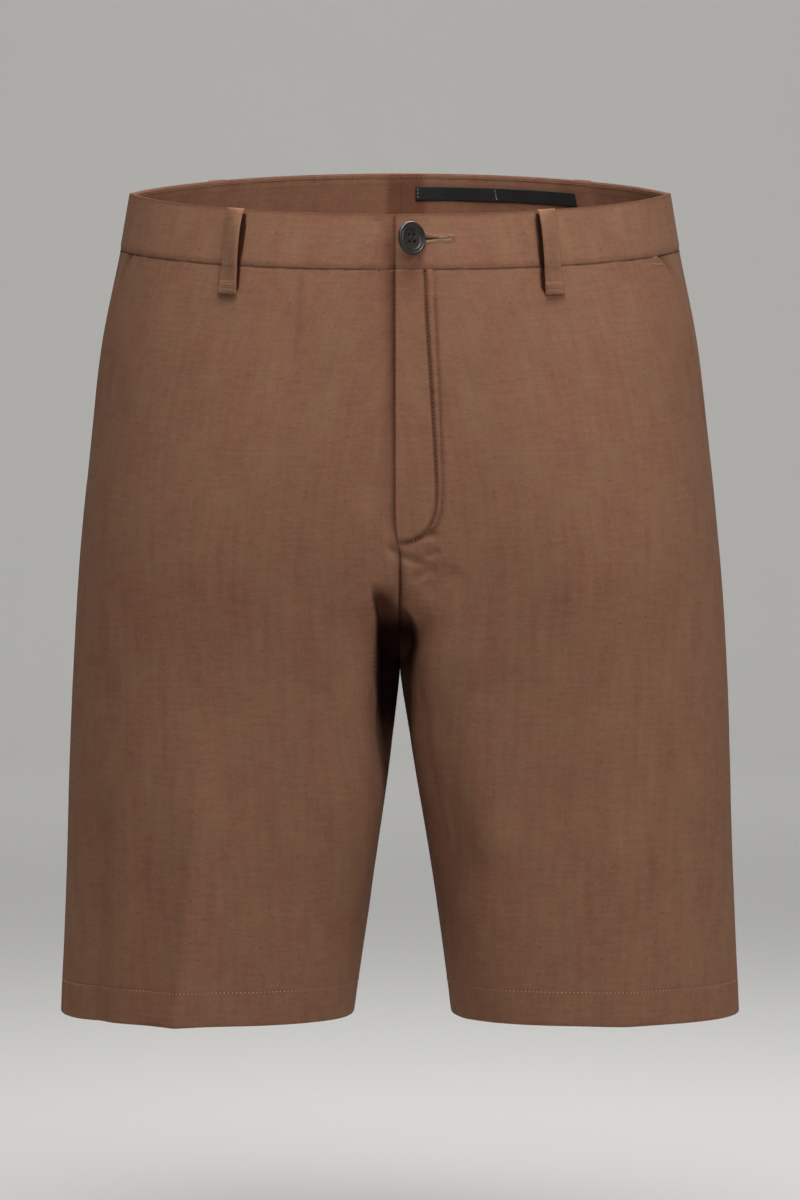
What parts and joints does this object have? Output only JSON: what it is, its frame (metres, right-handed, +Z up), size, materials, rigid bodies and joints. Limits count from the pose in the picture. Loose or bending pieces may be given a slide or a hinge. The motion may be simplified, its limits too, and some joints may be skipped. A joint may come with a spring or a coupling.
{
  "type": "bermuda shorts",
  "caption": "Knee-length woven bermuda shorts, filled out as if worn, with a buttoned waistband, belt loops, slant pockets, a lapped fly and turned-up hems.",
  "frame": {"origin": "centre of the waist's top edge, where the wearer's waist holds the shorts", "axes": "+Z up along the body, +X towards the wearer's left, -Y towards the front"},
  "size_m": [0.4092, 0.2704, 0.5125],
  "materials": {
    "linen_cotton": "matt plain-woven linen and cotton, mottled brown with slubs",
    "woven_tape": "close-woven black tape with a faint satin sheen",
    "button_resin": "polished dark grey, horn-like"
  },
  "bodies": {
    "root": {"front_right": "linen_cotton", "front_left": "linen_cotton", "back_right": "linen_cotton", "back_left": "linen_cotton", "pocket_facing_right": "linen_cotton", "pocket_facing_left": "linen_cotton", "fly_shield": "linen_cotton", "waistband_right": "linen_cotton", "waistband_left": "linen_cotton", "belt_loop_front_right": "linen_cotton", "belt_loop_front_left": "linen_cotton", "belt_loop_back_right": "linen_cotton", "belt_loop_back_left": "linen_cotton", "belt_loop_back_centre": "linen_cotton", "label_main": "woven_tape", "label_size": "woven_tape", "button": "button_resin"}
  },
  "joints": []
}
